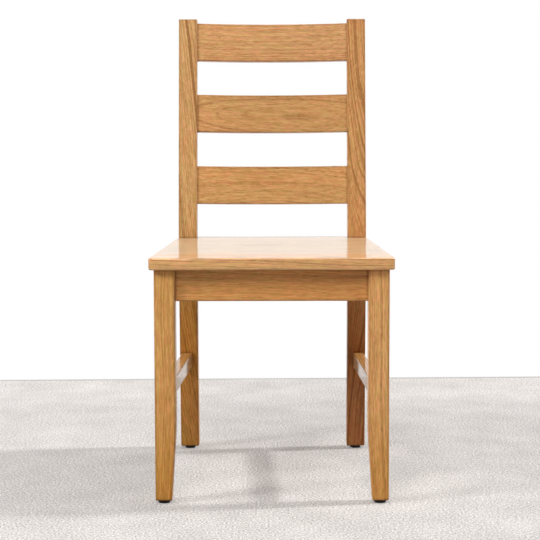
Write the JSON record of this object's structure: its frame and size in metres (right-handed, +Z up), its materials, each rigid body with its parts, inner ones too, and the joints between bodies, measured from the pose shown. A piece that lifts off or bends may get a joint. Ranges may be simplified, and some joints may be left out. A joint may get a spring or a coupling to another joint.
{
  "type": "dining chair",
  "caption": "Ladder-back dining chair in solid oak: bowed back slats between raked posts, a flat board seat, tapered front legs and low side stretchers.",
  "frame": {"origin": "on the floor, under the middle of the chair's box", "axes": "+Z up, -Y to the front of the chair, +X to the right as seen from the front"},
  "size_m": [0.4414, 0.5337, 0.902],
  "materials": {
    "oak_frame": "satin",
    "oak_seat": "satin",
    "block_wood": "matte",
    "fastener_steel": "satin",
    "glide_plastic": "matte"
  },
  "bodies": {
    "root": {"front_leg_left": "oak_frame", "front_leg_right": "oak_frame", "rear_post_left": "oak_frame", "rear_post_right": "oak_frame", "top_slat": "oak_frame", "middle_slat": "oak_frame", "bottom_slat": "oak_frame", "front_apron": "oak_frame", "rear_apron": "oak_frame", "side_apron_left": "oak_frame", "side_apron_right": "oak_frame", "side_stretcher_left": "oak_frame", "side_stretcher_right": "oak_frame", "seat_board_1": "oak_seat", "seat_board_2": "oak_seat", "seat_board_3": "oak_seat", "seat_board_4": "oak_seat", "seat_board_5": "oak_seat", "seat_board_6": "oak_seat", "corner_block_front_left": "block_wood", "corner_block_front_right": "block_wood", "corner_block_rear_left": "block_wood", "corner_block_rear_right": "block_wood", "corner_block_screws": "fastener_steel", "seat_screws": "fastener_steel", "glide_nails": "fastener_steel", "glide_front_left": "glide_plastic", "glide_front_right": "glide_plastic", "glide_rear_left": "glide_plastic", "glide_rear_right": "glide_plastic"}
  },
  "joints": []
}
